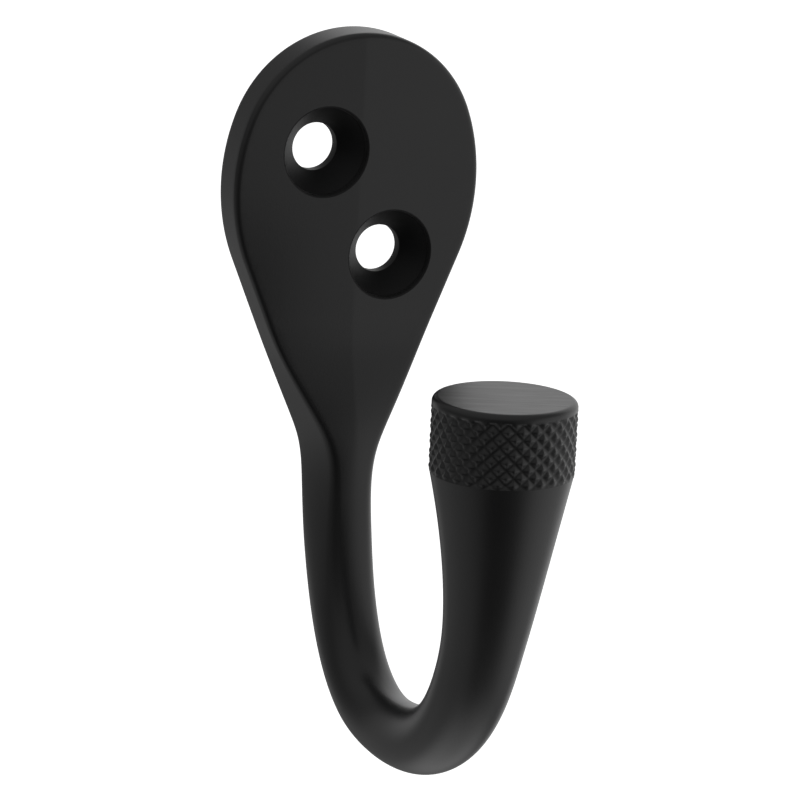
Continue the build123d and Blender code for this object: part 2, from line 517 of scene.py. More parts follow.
    def inset(self, distance: float) -> np.ndarray:
        """Outline moved inwards, with its two ends kept on the foot line.

        Args:
            distance: How far inwards.

        Returns:
            The points as rows of x and z.
        """
        points, normals = self.outline()
        moved = points - normals * distance
        moved[0] = (self.foot_end(distance), self.foot_z)
        moved[-1] = (-self.foot_end(distance), self.foot_z)
        return moved

    def foot_front(self) -> list[Point2]:
        """Front points along the foot, shared with the bar's first ring.

        Returns:
            The points as x and z, from right to left.
        """
        end = self.foot_end(self.front_edge_radius)
        stops = [end, self.crest_half, -self.crest_half, -end]
        counts = [self.face_steps, self.crest_steps, self.face_steps]
        points = []
        for start, stop, count in zip(stops, stops[1:], counts):
            points.extend((start + (stop - start) * step / count, self.foot_z) for step in range(count))
        return points + [(-end, self.foot_z)]

    def foot_back(self) -> list[Point2]:
        """Back points along the foot from left to right, shared with the bar's first ring."""
        end = self.foot_end(self.back_edge_radius)
        return [(-end + across, self.foot_z) for across in spread(2 * end, self.back_steps)]

    def rim_rows(self) -> list[np.ndarray]:
        """Rows of points across the edge, from the back over the side to the front.

        Returns:
            One row of x, y, z points along the outline for each line of the edge.
        """
        back, front = self.back_edge_radius, self.front_edge_radius
        fronts = np.array([self.front_y(x) for x in self.inset(front)[:, 0]])
        level = np.ones(len(fronts))
        lines = []
        for angle in spread(pi / 2, self.back_edge_steps)[:-1]:
            lines.append((back * (1 - sin(angle)), -back * (1 - cos(angle)) * level))
        for share in spread(1.0, self.side_steps)[:-1]:
            lines.append((0.0, -back * (1 - share) + (fronts + front) * share))
        for angle in spread(pi / 2, self.front_edge_steps):
            lines.append((front * (1 - cos(angle)), fronts + front * (1 - sin(angle))))
        rows = []
        for distance, depths in lines:
            line = self.inset(distance)
            rows.append(np.stack((line[:, 0], depths, line[:, 1]), axis=1))
        return rows

    def hole_centres(self) -> list[Point2]:
        """Centres of the two screw holes, upper left and lower right."""
        return [(-self.hole_offset_x, self.hole_offset_z), (self.hole_offset_x, -self.hole_offset_z)]

    def hole_distance(self, x: float, z: float) -> float:
        """Distance of a place from the nearer hole's axis."""
        return min(hypot(x - hole_x, z - hole_z) for hole_x, hole_z in self.hole_centres())

    def hole_profile(self, centre_x: float) -> list[tuple[float, float, float]]:
        """Wall of a screw hole from its mouth to the back.

        Args:
            centre_x: Place of the hole's axis.

        Returns:
            Radius, depth and the share of the roof's slope that each ring follows.
        """
        head, bore = self.head_diameter / 2, self.hole_diameter / 2
        lip, seat, edge = self.mouth_radius, self.seat_radius, self.bore_edge_radius
        half_angle = radians(self.head_angle / 2)
        mouth = self.front_y(centre_x)
        cone_top = mouth + self.head_wall
        cone_foot = cone_top + (head - bore) / tan(half_angle)
        seat_z = cone_top - seat * tan(half_angle / 2)
        edge_z = cone_foot + edge * tan(half_angle / 2)
        profile = []
        for angle in spread(pi / 2, self.hole_round_steps):
            profile.append((head + lip * (1 - sin(angle)), mouth + lip * (1 - cos(angle)), 1.0))
        for angle in spread(half_angle, self.hole_round_steps):
            profile.append((head - seat * (1 - cos(angle)), seat_z + seat * sin(angle), 0.0))
        for angle in reversed(spread(half_angle, self.hole_round_steps)):
            profile.append((bore + edge * (1 - cos(angle)), edge_z - edge * sin(angle), 0.0))
        for angle in spread(pi / 2, self.back_round_steps):
            profile.append((bore + edge * (1 - cos(angle)), -edge * (1 - sin(angle)), 0.0))
        return profile

    def circle(self, centre: Point2, radius: float) -> list[Point2]:
        """Points round a hole's axis."""
        turns = spread(2 * pi, self.hole_steps)[:-1]
        return [(centre[0] + radius * cos(turn), centre[1] + radius * sin(turn)) for turn in turns]

    def grid_points(
        self, border: list[Point2], inset: float, hole_radius: float, step: float
    ) -> list[Point2]:
        """Points of an even grid over the plate, clear of a border and the two holes.

        Args:
            border: Closed border of the grid.
            inset: Distance of the border from the plate's outline.
            hole_radius: Radius of the two openings.
            step: Distance between the points.

        Returns:
            The points as x and z.
        """
        ring = np.array(border)
        line = self.inset(inset)
        right = line[: len(line) // 2 + 1]
        columns = [0.0]
        for column in (self.crest_half / 2, self.crest_half, 2 * self.crest_half):
            columns.extend((column, -column))
        column = 2 * self.crest_half + step
        while column < self.width / 2:
            columns.extend((column, -column))
            column += step
        clear = hole_radius + self.hole_ring + self.hole_gap * step
        points = []
        height = self.foot_z + step
        while height < right[-1][1]:
            reach = float(np.interp(height, right[:, 1], right[:, 0]))
            for column in columns:
                if abs(column) >= reach or self.hole_distance(column, height) <= clear:
                    continue
                if np.min(np.linalg.norm(ring - (column, height), axis=1)) > self.border_gap * step:
                    points.append((column, height))
            height += step
        return points

    def add_panel(
        self,
        shell: Shell,
        foot: list[Point2],
        inset: float,
        hole_radius: float,
        step: float,
        depth: Callable[[float], float],
    ) -> None:
        """Adds one broad side of the plate to the shell, open at the two holes.

        Args:
            shell: The casting's shell.
            foot: Points along the foot from left to right.
            inset: Distance of the side's border from the plate's outline.
            hole_radius: Radius of the two openings.
            step: Distance between the inner points.
            depth: Gives the side's y at a distance from the middle.
        """
        border = [tuple(point) for point in self.inset(inset)[:-1]] + foot[:-1]
        points = list(border)
        edges = loop_edges(0, len(border))
        for centre in self.hole_centres():
            edges += loop_edges(len(points), self.hole_steps)
            points += self.circle(centre, hole_radius)
            points += self.circle(centre, hole_radius + self.hole_ring)
        points += self.grid_points(border, inset, hole_radius, step)
        places, triangles = triangulate(points, edges)
        numbers = shell.add((place.x, depth(place.x), place.y) for place in places)
        count = 0
        for corners in triangles:
            one, two, three = (np.array(places[index]) for index in corners)
            way, other = two - one, three - one
            double_area = abs(way[0] * other[1] - way[1] * other[0])
            outside = self.hole_distance(*(one + two + three) / 3) > self.opening_share * hole_radius
            if outside and double_area > SLIVER_DOUBLE_AREA:
                shell.face([numbers[index] for index in corners])
                count += 1
        LOG.info("broad side of the plate: %d triangles", count)

    def build_hole(self, shell: Shell, centre: Point2) -> None:
        """Adds the wall of one screw hole: rounded mouth, straight head wall, cone and bore.

        Args:
            shell: The casting's shell.
            centre: Place of the hole's axis.
        """
        middle = self.front_y(centre[0])
        rows = []
        for radius, depth, slope in self.hole_profile(centre[0]):
            circle = self.circle(centre, radius)
            rows.append(shell.add((x, depth + slope * (self.front_y(x) - middle), z) for x, z in circle))
        shell.skin(rows, closed=True, zone=CoatZone.HOLE)

    def build(self, shell: Shell) -> Ring:
        """Adds the plate to the shell, open at its foot.

        Args:
            shell: The casting's shell.

        Returns:
            The ring of foot points that the bar goes on from.
        """
        rows = self.rim_rows()
        front, back = self.foot_front(), self.foot_back()
        shell.skin([shell.add(row) for row in rows], closed=False)
        mouth = self.head_diameter / 2 + self.mouth_radius
        self.add_panel(shell, front[::-1], self.front_edge_radius, mouth, self.front_grid, self.front_y)
        bore = self.hole_diameter / 2 + self.bore_edge_radius
        self.add_panel(shell, back, self.back_edge_radius, bore, self.back_grid, lambda _: 0.0)
        for centre in self.hole_centres():
            self.build_hole(shell, centre)
        ring = [(x, 0.0, z) for x, z in back[:-1]]
        ring += [row[0] for row in rows[:-1]]
        ring += [(x, self.front_y(x), z) for x, z in front[:-1]]
        ring += [row[-1] for row in rows[:0:-1]]
        return np.array([tuple(point) for point in ring])


@dataclass
class HookBar:
    """Bar that leaves the plate, bends into a J and flares towards the button.

    Sizes are in millimetres and angles in degrees.
    """

    plate: WallPlate
    stem_depth: float = 6.7
    stem_relief: float = 0.15
    stem_draft: float = 11.0
    stem_front_radius: float = 1.2
    stem_back_radius: float = 0.5
    stem_roundness: float = 0.22
    bend_start_z: float = -25.5
    bend_bottom_z: float = -52.37
    bend_bottom_reach: float = 18.1
    bend_bottom_radius: float = 3.38
    stem_pull: float = 0.66
    rise_pull: float = 0.855
    arm_roundness: float = 0.98
    arm_end_reach: float = 39.6
    arm_end_z: float = -18.72
    arm_end_radius: float = 7.06
    arm_bar_radius: float = 4.6
    arm_lean: float = 1.2
    arm_pull: float = 0.443
    flare_length: float = 20.8
    flare_power: float = 1.66

    # Turns of a fully round section's back, sides and front, half a circle in all
    round_back_turn: float = 30.0
    round_side_turn: float = 60.0
    round_face_turn: float = 20.0
    round_crest_turn: float = 10.0

    # Sections along the neck, the stem and the rising arm, and rings of the finished mesh
    neck_steps: int = 6
    stem_steps: int = 7
    rise_steps: int = 12
    rings: int = 230

    @property
    def end_place(self) -> Vector:
        """Middle of the arm's end."""
        return Vector((0.0, -self.arm_end_reach, self.arm_end_z))

    def section(
        self,
        half_width: float,
        depth: float,
        roundness: float,
        draft: float,
        front_radius: float,
        back_radius: float,
        crest: float,
    ) -> list[Point2]:
        """One cross-section, from a box with soft corners to a circle.

        Args:
            half_width: Half the width.
            depth: Depth from back to front.
            roundness: 0 for flat sides, 1 for a circle.
            draft: Lean of the sides in towards the front, in degrees.
            front_radius: Radius of the front corners.
            back_radius: Radius of the back corners.
            crest: Radius of the middle of the front.

        Returns:
            The closed ring's points, from the back's left end by the right side.
        """
        plate = self.plate
        draft = radians(draft)
        back_turn = radians(self.round_back_turn * roundness)
        side_turn = radians(self.round_side_turn * roundness)
        back_corner = pi / 2 + draft - side_turn / 2 - back_turn
        crest_turn = radians(plate.roof_tilt + (self.round_crest_turn - plate.roof_tilt) * roundness)
        face_turn = radians(self.round_face_turn * roundness)
        front_corner = pi / 2 - draft - side_turn / 2 - face_turn - crest_turn
        back_chord = 2 * back_radius * sin(back_corner / 2)
        front_chord = 2 * front_radius * sin(front_corner / 2)
        crest_chord = 2 * crest * sin(crest_turn / 2)
        back_way = back_turn + back_corner / 2
        front_way = crest_turn + face_turn + front_corner / 2
        face_way = crest_turn + face_turn / 2
        swell = tan(side_turn / 4) / 2
        back_room = half_width - back_chord * cos(back_way)
        front_room = half_width - front_chord * cos(front_way) - crest_chord * cos(crest_turn / 2)
        taken = back_chord * sin(back_way) + front_chord * sin(front_way) + crest_chord * sin(crest_turn / 2)
        taken += back_room * tan(back_turn / 2) + front_room * tan(face_way)
        upright = cos(draft) - swell * (tan(back_turn / 2) + tan(face_way)) - sin(draft) * tan(face_way)
        side = (depth - taken) / upright
        back = (back_room - swell * side) / cos(back_turn / 2)
        face = (front_room - (swell + sin(draft)) * side) / cos(face_way)
        steps = [
            (back, back_turn / 2),
            (back_chord, back_way),
            (side, pi / 2 + draft),
            (front_chord, pi - front_way),
            (face, pi - face_way),
        ]
        line = [(0.0, -depth / 2)]
        for length, way in steps:
            line.append((line[-1][0] + length * cos(way), line[-1][1] + length * sin(way)))
        right = line[1:]
        left = [(-x, y) for x, y in right]
        turns = [back_corner, side_turn, front_corner, face_turn]
        counts = [plate.back_edge_steps, plate.side_steps, plate.front_edge_steps, plate.face_steps]
        points = arc_points(left[0], right[0], 2 * back_turn, plate.back_steps)
        for index, turn in enumerate(turns):
            points += arc_points(right[index], right[index + 1], turn, counts[index])
        points += arc_points(right[-1], left[-1], 2 * crest_turn, plate.crest_steps)
        for index, turn in reversed(list(enumerate(turns))):
            points += arc_points(left[index + 1], left[index], turn, counts[index])
        return points

    @staticmethod
    def place(points: Sequence[Point2], centre: Sequence[float], tangent: Sequence[float]) -> Ring:
        """Sets a section across the bar's centre line in the middle plane.

        Args:
            points: The section's points.
            centre: Place on the centre line, as y and z.
            tangent: Direction of the line there, as y and z.

        Returns:
            The ring's points in space.
        """
        front = (tangent[1], -tangent[0])
        return np.array([(x, centre[0] + y * front[0], centre[1] + y * front[1]) for x, y in points])

    def neck_rings(self) -> list[Ring]:
        """Straight run of the bar below the plate's foot.

        Returns:
            Its control rings.
        """
        plate = self.plate
        rings = []
        for step in range(1, self.neck_steps + 1):
            share = step / self.neck_steps
            height = plate.foot_z + share * (self.bend_start_z - plate.foot_z)
            front = blend(plate.thickness, self.stem_depth, share)
            relief = blend(0.0, self.stem_relief, share)
            section = self.section(
                plate.half_width_at(height),
                front - relief,
                self.stem_roundness * share * share,
                blend(0.0, self.stem_draft, share),
                blend(plate.front_edge_radius, self.stem_front_radius, share),
                blend(plate.back_edge_radius, self.stem_back_radius, share),
                blend(plate.crest_radius, plate.neck_width, share),
            )
            rings.append(self.place(section, (-(front + relief) / 2, height), (0.0, -1.0)))
        return rings

    def stem_rings(self) -> list[Ring]:
        """Run of the stem from the neck to the bottom of the bend.

        Returns:
            Its control rings.
        """
        neck_width, radius = self.plate.neck_width, self.bend_bottom_radius
        start, bottom, reach = self.bend_start_z, self.bend_bottom_z, self.bend_bottom_reach
        middle = self.stem_depth / 2
        curve = [
            (-middle, start),
            (-middle, start + self.stem_pull * (bottom - start)),
            (-reach + self.stem_pull * (reach - middle), bottom),
            (-reach, bottom),
        ]
        places, tangents, _ = bezier_run(curve, self.stem_steps)
        rings = []
        for step, (centre, tangent) in enumerate(zip(places, tangents), start=1):
            share = step / self.stem_steps
            section = self.section(
                blend(neck_width / 2, radius, share),
                blend(self.stem_depth - self.stem_relief, 2 * radius, share),
                blend(self.stem_roundness, self.arm_roundness, share),
                blend(self.stem_draft, 0.0, share),
                blend(self.stem_front_radius, self.arm_roundness * radius, share),
                blend(self.stem_back_radius, self.arm_roundness * radius, share),
                blend(neck_width, radius, share),
            )
            rings.append(self.place(section, centre, tangent))
        return rings

    def arm_rings(self) -> list[Ring]:
        """Run of the arm from the bottom of the bend to the button.

        Returns:
            Its control rings.
        """
        reach, bottom = self.bend_bottom_reach, self.bend_bottom_z
        across = self.arm_end_reach - reach
        lean = radians(self.arm_lean)
        pull = self.arm_pull * hypot(across, self.arm_end_z - bottom)
        curve = [
            (-reach, bottom),
            (-reach - self.rise_pull * across, bottom),
            (-self.arm_end_reach - pull * sin(lean), self.arm_end_z - pull * cos(lean)),
            (-self.arm_end_reach, self.arm_end_z),
        ]
        places, tangents, length = bezier_run(curve, self.rise_steps)
        rings = []
        for step, (centre, tangent) in enumerate(zip(places, tangents), start=1):
            share = step / self.rise_steps
            to_end = (1 - share) * length
            radius = self.bend_bottom_radius + (self.arm_bar_radius - self.bend_bottom_radius) * share
            flare = max(0.0, 1 - to_end / self.flare_length) ** self.flare_power
            radius += (self.arm_end_radius - self.arm_bar_radius) * flare
            corner = self.arm_roundness * radius
            section = self.section(radius, 2 * radius, self.arm_roundness, 0.0, corner, corner, radius)
            rings.append(self.place(section, centre, tangent))
        return rings

    def build(self, shell: Shell, foot: Ring) -> Ring:
        """Adds the bar to the shell, open at the arm's end.

        Args:
            shell: The casting's shell.
            foot: The plate's foot ring.

        Returns:
            The ring at the arm's end.
        """
        control = [foot, *self.neck_rings(), *self.stem_rings(), *self.arm_rings()]
        rings = spline_rings(control, self.rings)
        shell.skin([shell.add(ring) for ring in rings], closed=True)
        LOG.info("bar: %d rings of %d points", len(rings), len(foot))
        return rings[-1]


@dataclass
class KnurledButton:
    """Button on the arm's end: diamond knurl, smooth rounded rim and flat top; sizes in millimetres."""

    bar: HookBar
    radius: float = 7.18
    height: float = 7.42
    edge_radius: float = 0.6
    rim_height: float = 0.8
    rim_inset: float = 0.05
    tooth_count: int = 30
    tooth_rows: int = 8
    tooth_depth: float = 0.34
    lead_in: float = 0.4
    run_out: float = 0.2
    foot_step: float = 0.03

    # Coat over the teeth: blend between the ridges as a share of their height, and fill in the valleys
    soften: float = 0.26
    coat_fill: float = 0.1

    # Fineness of the mesh, with the rings on the flat top as a first step and shares of its radius
    steps_per_tooth: int = 16
    edge_steps: int = 14
    cap_step: float = 0.06
    cap_shares: tuple[float, ...] = (0.75, 0.5, 0.25)

    # Share of the arm's end radius inside which triangles are left out
    foot_share: float = 0.998

    @property
    def knurl_height(self) -> float:
        """Height of the knurled band."""
        return self.height - self.rim_height

    @property
    def pitch(self) -> float:
        """Distance between like rows of teeth."""
        return 2 * (self.knurl_height - self.lead_in - self.run_out) / self.tooth_rows

    @property
    def rim_radius(self) -> float:
        """Radius of the smooth rim."""
        return self.radius - self.rim_inset

    def knurl_values(self) -> dict[str, float | int]:
        """Inputs of the knurl tree.

        Returns:
            The values by their names.
        """
        return {
            "Valley Radius": self.radius - self.tooth_depth + self.coat_fill,
            "Tooth Depth": self.tooth_depth - self.coat_fill,
            "Band Height": self.knurl_height,
            "Pitch": self.pitch,
            "Lead In": self.lead_in,
            "Run Out": self.run_out,
            "Foot Radius": self.bar.arm_end_radius + self.foot_step,
            "Rim Radius": self.rim_radius,
            "Soften": self.soften,
            "Teeth": self.tooth_count,
            "Around": self.tooth_count * self.steps_per_tooth,
            "Up": round(self.knurl_height / (self.pitch / self.steps_per_tooth)),
        }

    def knurl_tree(self, finish: bpy.types.Material) -> tuple[bpy.types.NodeTree, dict[str, str]]:
        """Builds the tree that presses the diamond teeth into a plain band.

        Args:
            finish: Material of the band.

        Returns:
            The tree, and its input names with their socket identifiers.
        """
        tree = bpy.data.node_groups.new("knurled_band", "GeometryNodeTree")
        face = tree.interface
        sockets: dict[str, str] = {}
        face.new_socket("Geometry", in_out="INPUT", socket_type="NodeSocketGeometry")
        for name, value in self.knurl_values().items():
            kind = "NodeSocketInt" if isinstance(value, int) else "NodeSocketFloat"
            sockets[name] = face.new_socket(name, in_out="INPUT", socket_type=kind).identifier
        face.new_socket("Geometry", in_out="OUTPUT", socket_type="NodeSocketGeometry")
        desk = NodeDesk(tree)
        given = desk.node("NodeGroupInput").outputs
        size = {
            "Vertices": given["Around"],
            "Side Segments": given["Up"],
            "Radius": given["Valley Radius"],
            "Depth": given["Band Height"],
        }
        band = desk.node("GeometryNodeMeshCylinder", size, fill_type="NONE").outputs["Mesh"]
        place = desk.node("GeometryNodeInputPosition").outputs[0]
        split = desk.node("ShaderNodeSeparateXYZ", {0: place}).outputs
        angle = desk.math("ARCTAN2", split["Y"], split["X"])
        up = desk.math("ADD", split["Z"], desk.math("MULTIPLY", given["Band Height"], 0.5))

        # Two sets of waves that wind round the band in opposite ways, with a tooth where both are high
        around = desk.math("MULTIPLY", desk.math("DIVIDE", angle, 2 * pi), given["Teeth"])
        climb = desk.math("DIVIDE", desk.math("SUBTRACT", up, given["Lead In"]), given["Pitch"])
        ridges = []
        for operation in ("ADD", "SUBTRACT"):
            turn = desk.math("MULTIPLY", desk.math(operation, around, climb), 2 * pi)
            ridges.append(desk.math("MULTIPLY_ADD", desk.math("COSINE", turn), 0.5, 0.5))
        tooth = desk.math("SMOOTH_MIN", *ridges, given["Soften"])
        raised = desk.math("MULTIPLY", tooth, given["Tooth Depth"])
        toothed = desk.math("ADD", given["Valley Radius"], raised)

        # The teeth rise from the foot and run out into the rim
        low = desk.math("MINIMUM", desk.math("DIVIDE", up, given["Lead In"]), 1.0)
        rest = desk.math("SUBTRACT", given["Band Height"], up)
        high = desk.math("MINIMUM", desk.math("DIVIDE", rest, given["Run Out"]), 1.0)
        risen = desk.between(given["Foot Radius"], toothed, low)
        reach = desk.between(given["Rim Radius"], risen, high)
        x = desk.math("MULTIPLY", reach, desk.math("COSINE", angle))
        y = desk.math("MULTIPLY", reach, desk.math("SINE", angle))
        spot = desk.node("ShaderNodeCombineXYZ", {"X": x, "Y": y, "Z": up}).outputs[0]
        press = desk.node("GeometryNodeSetPosition", {"Geometry": band, "Position": spot})
        real = desk.node("GeometryNodeRealizeInstances", {0: press.outputs[0]})
        dress = desk.node("GeometryNodeSetMaterial", {"Geometry": real.outputs[0], "Material": finish})
        desk.node("NodeGroupOutput", {0: dress.outputs[0]})
        return tree, sockets

    def band_mesh(self, finish: bpy.types.Material) -> bpy.types.Mesh:
        """Evaluates the knurl tree into a plain mesh.

        Args:
            finish: Material of the band.

        Returns:
            The band's mesh in millimetres, upright on the origin.
        """
        tree, sockets = self.knurl_tree(finish)
        holder = bpy.data.objects.new("knurl_holder", bpy.data.meshes.new("knurl_holder"))
        bpy.context.scene.collection.objects.link(holder)
        modifier = holder.modifiers.new("knurl", "NODES")
        modifier.node_group = tree
        for name, value in self.knurl_values().items():
            modifier[sockets[name]] = value
        evaluated = holder.evaluated_get(bpy.context.evaluated_depsgraph_get())
        mesh = bpy.data.meshes.new_from_object(evaluated)
        holder.modifiers.remove(modifier)
        bpy.data.objects.remove(holder)
        LOG.info("knurl band: %d faces", len(mesh.polygons))
        return mesh

    def to_hook(self) -> Matrix:
        """Matrix from the button's own frame to the hook's frame, in millimetres."""
        tilt = Matrix.Rotation(-radians(self.bar.arm_lean), 4, "X")
        return Matrix.Translation(self.bar.end_place) @ tilt

    @staticmethod
    def ring_at(places: Sequence[Vector], height: float) -> list[int]:
        """Numbers of the band's points at a height, in order round the axis."""
        ring = [index for index, place in enumerate(places) if abs(place.z - height) < RING_TOLERANCE]
        return sorted(ring, key=lambda index: atan2(places[index].y, places[index].x))

    def lathe(self, shell: Shell, angles: Sequence[float], radius: float, height: float) -> list[int]:
        """Adds a round ring of points to the shell.

        Args:
            shell: The casting's shell.
            angles: Places of the points round the button's axis.
            radius: Radius of the ring.
            height: Height of the ring above the arm's end.

        Returns:
            The points' numbers.
        """
        matrix = self.to_hook()
        ring = [Vector((radius * cos(angle), radius * sin(angle), height)) for angle in angles]
        return shell.add(matrix @ place for place in ring)

    def close_foot(self, shell: Shell, outer: Sequence[Vector], inner: Sequence[Vector]) -> None:
        """Fills the narrow step between the band's foot and the arm's end.

        Args:
            shell: The casting's shell.
            outer: The band's lowest ring in the button's frame.
            inner: The arm's last ring in the button's frame.
        """
        first = len(outer)
        edges = loop_edges(0, first) + loop_edges(first, len(inner))
        places, triangles = triangulate([(place.x, place.y) for place in (*outer, *inner)], edges)
        inner_radius = min(hypot(place.x, place.y) for place in inner)
        matrix = self.to_hook()
        numbers = shell.add(matrix @ Vector((place.x, place.y, 0.0)) for place in places)
        for corners in triangles:
            middle = sum((places[index] for index in corners), Vector((0, 0))) / len(corners)
            reaches_out = any(index < first for index in corners)
            if reaches_out and middle.length > self.foot_share * inner_radius:
                shell.face([numbers[index] for index in corners])

    def build(self, shell: Shell, arm_end: Ring, finish: bpy.types.Material) -> None:
        """Adds the button to the shell and closes the gap to the arm.

        Args:
            shell: The casting's shell.
            arm_end: The ring at the arm's end.
            finish: Material of the band.
        """
        matrix = self.to_hook()
        mesh = self.band_mesh(finish)
        local = [vertex.co.copy() for vertex in mesh.vertices]
        numbers = shell.add(matrix @ place for place in local)
        for polygon in mesh.polygons:
            shell.face([numbers[index] for index in polygon.vertices])
        bpy.data.meshes.remove(mesh)
        top = self.ring_at(local, self.knurl_height)
        angles = [atan2(local[index].y, local[index].x) for index in top]
        rows = [[numbers[index] for index in top]]
        start = self.height - self.edge_radius
        for angle in spread(pi / 2, self.edge_steps):
            radius = self.rim_radius - self.edge_radius * (1 - cos(angle))
            rows.append(self.lathe(shell, angles, radius, start + self.edge_radius * sin(angle)))
        shell.skin(rows, closed=True)
        flat = self.rim_radius - self.edge_radius
        cap = [rows[-1], self.lathe(shell, angles, flat - self.cap_step, self.height)]
        for share in self.cap_shares:
            cap.append(self.lathe(shell, angles, share * flat, self.height))
        shell.skin(cap, closed=True, zone=CoatZone.CAP)
        shell.fan(cap[-1], matrix @ Vector((0, 0, self.height)), CoatZone.CAP)
        foot = [local[index] for index in self.ring_at(local, 0.0)]
        inverse = matrix.inverted()
        self.close_foot(shell, foot, [inverse @ Vector(place) for place in arm_end])


@dataclass(frozen=True)
class CoatGrain:
    """Grain that all finishes share: fine peel, soft patches and straight streaks.

    Sizes are in millimetres, the patches' scale is per metre and the turn in degrees.
    """

    peel_detail: float = 2.0
    patch_scale: float = 140.0
    patch_detail: float = 3.0
    streak_detail: float = 3.0
    streak_turn: float = 26.0
    streak_length: float = 6.0
    streak_width: float = 0.28
    streak_roughness: float = 0.25
    tone_base: float = 0.86
    tone_spread: float = 0.14

    def group(self) -> bpy.types.NodeTree:
        """Builds the shader node group.

        Returns:
            The group, with the coat's colour, roughness and height as its outputs.
        """
        tree = bpy.data.node_groups.new("coat_grain", "ShaderNodeTree")
        face = tree.interface
        face.new_socket("Place", in_out="INPUT", socket_type="NodeSocketVector")
        face.new_socket("Colour", in_out="INPUT", socket_type="NodeSocketColor")
        for name in ("Roughness", "Roughness Spread", "Grain Scale", "Streaks"):
            face.new_socket(name, in_out="INPUT", socket_type="NodeSocketFloat")
        face.new_socket("Colour", in_out="OUTPUT", socket_type="NodeSocketColor")
        for name in ("Roughness", "Height"):
            face.new_socket(name, in_out="OUTPUT", socket_type="NodeSocketFloat")
        desk = NodeDesk(tree)
        given = desk.node("NodeGroupInput").outputs
        peel = desk.noise(given["Grain Scale"], self.peel_detail, given["Place"])
        patches = desk.noise(self.patch_scale, self.patch_detail, given["Place"])
        stretch = {
            "Vector": given["Place"],
            "Rotation": (0.0, 0.0, -radians(self.streak_turn)),
            "Scale": (self.streak_length * MM, self.streak_width * MM, self.streak_width * MM),
        }
        drawn = desk.node("ShaderNodeMapping", stretch, vector_type="TEXTURE").outputs[0]
        lines = desk.noise(1.0, self.streak_detail, drawn)
        uneven = desk.math("MULTIPLY", desk.math("SUBTRACT", patches, 0.5), given["Roughness Spread"])
        streaked = desk.math("MULTIPLY", desk.math("SUBTRACT", lines, 0.5), given["Streaks"])
        change = desk.math("ADD", uneven, desk.math("MULTIPLY", streaked, self.streak_roughness))
        mottle = desk.math("MULTIPLY", desk.math("ADD", patches, peel), self.tone_spread)
        tone = desk.math("ADD", self.tone_base, mottle)
        shade = desk.node("ShaderNodeVectorMath", {0: given["Colour"], "Scale": tone}, operation="SCALE")
        desk.node("NodeGroupOutput", {
            "Colour": shade.outputs[0],
            "Roughness": desk.math("ADD", given["Roughness"], change),
            "Height": desk.math("ADD", peel, streaked),
        })
        return tree


@dataclass(frozen=True)
class CoatFinish:
    """A black coat: colour and gloss with a fine grain; sizes in millimetres."""

    name: str
    colour: tuple[float, float, float]
    roughness: float = 0.33
    roughness_spread: float = 0.08
    grain_size: float = 0.16
    grain_height: float = 0.006
    streaks: float = 0.0
    gloss: float = 0.5
    refraction: float = 1.5

    def material(self, grain: bpy.types.NodeTree) -> bpy.types.Material:
        """Makes the material.

        Args:
            grain: The shared coat grain group.

        Returns:
            The material.
        """
        material = bpy.data.materials.new(self.name)
        material.use_nodes = True
        desk = NodeDesk(material.node_tree)
        values = {
            "Place": desk.node("ShaderNodeTexCoord").outputs["Object"],
            "Colour": (*self.colour, 1.0),
            "Roughness": self.roughness,
            "Roughness Spread": self.roughness_spread,
            "Grain Scale": 1.0 / (self.grain_size * MM),
            "Streaks": self.streaks,
        }
        coat = desk.node("ShaderNodeGroup", values, node_tree=grain).outputs
        relief = {"Strength": 1.0, "Distance": self.grain_height * MM, "Height": coat["Height"]}
        bump = desk.node("ShaderNodeBump", relief)
        desk.fill(material.node_tree.nodes["Principled BSDF"], {
            "Base Color": coat["Colour"],
            "Roughness": coat["Roughness"],
            "Normal": bump.outputs["Normal"],
            "IOR": self.refraction,
            "Metallic": 0.0,
            "Specular IOR Level": self.gloss,
        })
        return material


@dataclass
class Hook:
    """The whole casting: plate, bar and button as one closed piece."""

    plate: WallPlate = field(default_factory=WallPlate)
    grain: CoatGrain = CoatGrain()
    body_finish: CoatFinish = CoatFinish("satin_black_coat", (0.0095, 0.0095, 0.0098))
    cap_finish: CoatFinish = CoatFinish("satin_black_cap", (0.0105, 0.0105, 0.0108), streaks=0.8)
    # The holes' coat is darker and duller than the body's: its darker colour is painted shade in the
    # recesses
    hole_shade_finish: CoatFinish = CoatFinish(
        "hole_painted_shade_coat",
        (0.008, 0.008, 0.0082),
        roughness=0.48,
        roughness_spread=0.06,
        grain_height=0.004,
        gloss=0.22,
    )

    def build(self) -> bpy.types.Object:
        """Builds the casting and puts it in the place of the solid.

        Returns:
            The finished piece.
        """
        grain = self.grain.group()
        body = self.body_finish.material(grain)
        cap = self.cap_finish.material(grain)
        hole = self.hole_shade_finish.material(grain)
        shell = Shell()
        foot = self.plate.build(shell)
        bar = HookBar(self.plate)
        arm_end = bar.build(shell, foot)
        KnurledButton(bar).build(shell, arm_end, body)
        mesh = shell.to_mesh("hook_casting")
        for material in (body, cap, hole):
            mesh.materials.append(material)
        piece = bpy.data.objects.new("hook_casting", mesh)
        bpy.context.scene.collection.objects.link(piece)
        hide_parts("hook")
        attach(piece, "root")
        LOG.info("hook_casting rides on root and stands for hook")
        return piece


@dataclass(frozen=True)
class SoftLight:
    """A soft patch of the surround, lighter or darker, with an even core and a fading edge.

    Angles are in degrees, with azimuth 0 in front of the hook and 90 to its right.
    """

    azimuth: float
    elevation: float
    core: float
    fade: float
    strength: float

    @property
    def direction(self) -> tuple[float, float, float]:
        """Direction from the hook to the middle of the patch."""
        a, e = radians(self.azimuth), radians(self.elevation)
        return sin(a) * cos(e), -cos(a) * cos(e), sin(e)


